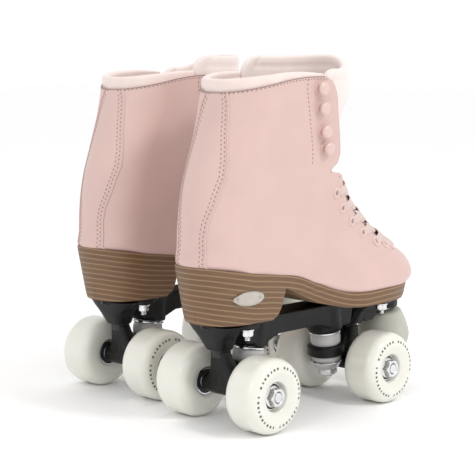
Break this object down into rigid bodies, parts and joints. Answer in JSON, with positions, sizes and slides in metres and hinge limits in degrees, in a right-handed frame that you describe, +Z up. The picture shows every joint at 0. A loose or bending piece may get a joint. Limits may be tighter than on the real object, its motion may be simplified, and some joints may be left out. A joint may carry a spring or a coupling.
{
  "type": "pair of quad roller skates",
  "caption": "Pair of high-top quad roller skates: laced padded boots on stacked heels, with chassis plates, sprung steering trucks, spinning wheels and adjustable toe stops.",
  "frame": {"origin": "on the ground, below the middle of the pair's bounding box", "axes": "+Z up, +Y towards the toes, +X to the skater's right; the right skate is at +X"},
  "size_m": [0.2396, 0.271, 0.2811],
  "materials": {
    "pink_leather": "soft satin grain",
    "cream_cloth": "matt padded cloth",
    "pink_lace": "flat woven",
    "brown_sole": "satin with pale stripes",
    "black_alloy": "satin black coat",
    "steel": "bright",
    "grey_urethane": "satin",
    "white_urethane": "soft gloss",
    "cream_rubber": "matt"
  },
  "bodies": {
    "right_skate": {"right_boot_upper": "pink_leather", "right_collar_lining": "cream_cloth", "right_tongue": "cream_cloth", "right_lace": "pink_lace", "right_sole": "brown_sole", "right_plate": "black_alloy", "right_front_kingpin": "steel", "right_front_upper_cushion": "grey_urethane", "right_front_lower_cushion": "grey_urethane", "right_rear_kingpin": "steel", "right_rear_upper_cushion": "grey_urethane", "right_rear_lower_cushion": "grey_urethane"},
    "right_toe_stop": {"right_toe_stop_pad": "cream_rubber", "right_toe_stop_stem": "steel"},
    "right_front_truck": {"right_front_truck": "black_alloy", "right_front_axle": "steel", "right_front_outer_nut": "steel", "right_front_inner_nut": "steel"},
    "right_front_outer_wheel": {"right_front_outer_wheel": "white_urethane", "right_front_outer_bearings": "steel"},
    "right_front_inner_wheel": {"right_front_inner_wheel": "white_urethane", "right_front_inner_bearings": "steel"},
    "right_rear_truck": {"right_rear_truck": "black_alloy", "right_rear_axle": "steel", "right_rear_outer_nut": "steel", "right_rear_inner_nut": "steel"},
    "right_rear_outer_wheel": {"right_rear_outer_wheel": "white_urethane", "right_rear_outer_bearings": "steel"},
    "right_rear_inner_wheel": {"right_rear_inner_wheel": "white_urethane", "right_rear_inner_bearings": "steel"},
    "left_skate": {"left_boot_upper": "pink_leather", "left_collar_lining": "cream_cloth", "left_tongue": "cream_cloth", "left_lace": "pink_lace", "left_sole": "brown_sole", "left_plate": "black_alloy", "left_front_kingpin": "steel", "left_front_upper_cushion": "grey_urethane", "left_front_lower_cushion": "grey_urethane", "left_rear_kingpin": "steel", "left_rear_upper_cushion": "grey_urethane", "left_rear_lower_cushion": "grey_urethane"},
    "left_toe_stop": {"left_toe_stop_pad": "cream_rubber", "left_toe_stop_stem": "steel"},
    "left_front_truck": {"left_front_truck": "black_alloy", "left_front_axle": "steel", "left_front_outer_nut": "steel", "left_front_inner_nut": "steel"},
    "left_front_outer_wheel": {"left_front_outer_wheel": "white_urethane", "left_front_outer_bearings": "steel"},
    "left_front_inner_wheel": {"left_front_inner_wheel": "white_urethane", "left_front_inner_bearings": "steel"},
    "left_rear_truck": {"left_rear_truck": "black_alloy", "left_rear_axle": "steel", "left_rear_outer_nut": "steel", "left_rear_inner_nut": "steel"},
    "left_rear_outer_wheel": {"left_rear_outer_wheel": "white_urethane", "left_rear_outer_bearings": "steel"},
    "left_rear_inner_wheel": {"left_rear_inner_wheel": "white_urethane", "left_rear_inner_bearings": "steel"}
  },
  "joints": [
    {"name": "right_toe_stop_height", "type": "slide", "parent": "right_skate", "child": "right_toe_stop", "axis": [0, 0.1392, -0.9903], "range_m": [0, 0.01]},
    {"name": "right_front_steering", "type": "hinge", "parent": "right_skate", "child": "right_front_truck", "pos_m": [0.066, 0.0555, 0.067], "axis": [0, 0.779, 0.627], "range_deg": [-8, 8], "stiffness_Nm_per_rad": 8, "deforming": ["right_front_upper_cushion", "right_front_lower_cushion"]},
    {"name": "right_front_outer_wheel_spin", "type": "hinge", "parent": "right_front_truck", "child": "right_front_outer_wheel", "pos_m": [0.1038, 0.045, 0.029], "axis": [1, 0, 0], "continuous": true},
    {"name": "right_front_inner_wheel_spin", "type": "hinge", "parent": "right_front_truck", "child": "right_front_inner_wheel", "pos_m": [0.0282, 0.045, 0.029], "axis": [1, 0, 0], "continuous": true},
    {"name": "right_rear_steering", "type": "hinge", "parent": "right_skate", "child": "right_rear_truck", "pos_m": [0.066, -0.1035, 0.067], "axis": [0, -0.779, 0.627], "range_deg": [-8, 8], "stiffness_Nm_per_rad": 8, "deforming": ["right_rear_upper_cushion", "right_rear_lower_cushion"]},
    {"name": "right_rear_outer_wheel_spin", "type": "hinge", "parent": "right_rear_truck", "child": "right_rear_outer_wheel", "pos_m": [0.1038, -0.093, 0.029], "axis": [1, 0, 0], "continuous": true},
    {"name": "right_rear_inner_wheel_spin", "type": "hinge", "parent": "right_rear_truck", "child": "right_rear_inner_wheel", "pos_m": [0.0282, -0.093, 0.029], "axis": [1, 0, 0], "continuous": true},
    {"name": "left_toe_stop_height", "type": "slide", "parent": "left_skate", "child": "left_toe_stop", "axis": [0, 0.1392, -0.9903], "range_m": [0, 0.01]},
    {"name": "left_front_steering", "type": "hinge", "parent": "left_skate", "child": "left_front_truck", "pos_m": [-0.066, 0.0695, 0.067], "axis": [0, 0.779, 0.627], "range_deg": [-8, 8], "stiffness_Nm_per_rad": 8, "deforming": ["left_front_upper_cushion", "left_front_lower_cushion"]},
    {"name": "left_front_outer_wheel_spin", "type": "hinge", "parent": "left_front_truck", "child": "left_front_outer_wheel", "pos_m": [-0.1038, 0.059, 0.029], "axis": [1, 0, 0], "continuous": true},
    {"name": "left_front_inner_wheel_spin", "type": "hinge", "parent": "left_front_truck", "child": "left_front_inner_wheel", "pos_m": [-0.0282, 0.059, 0.029], "axis": [1, 0, 0], "continuous": true},
    {"name": "left_rear_steering", "type": "hinge", "parent": "left_skate", "child": "left_rear_truck", "pos_m": [-0.066, -0.0895, 0.067], "axis": [0, -0.779, 0.627], "range_deg": [-8, 8], "stiffness_Nm_per_rad": 8, "deforming": ["left_rear_upper_cushion", "left_rear_lower_cushion"]},
    {"name": "left_rear_outer_wheel_spin", "type": "hinge", "parent": "left_rear_truck", "child": "left_rear_outer_wheel", "pos_m": [-0.1038, -0.079, 0.029], "axis": [1, 0, 0], "continuous": true},
    {"name": "left_rear_inner_wheel_spin", "type": "hinge", "parent": "left_rear_truck", "child": "left_rear_inner_wheel", "pos_m": [-0.0282, -0.079, 0.029], "axis": [1, 0, 0], "continuous": true},
    {"name": "left_skate_lift", "type": "slide", "parent": "right_skate", "child": "left_skate", "axis": [0, 0, 1], "range_m": [0, 0.35]}
  ]
}
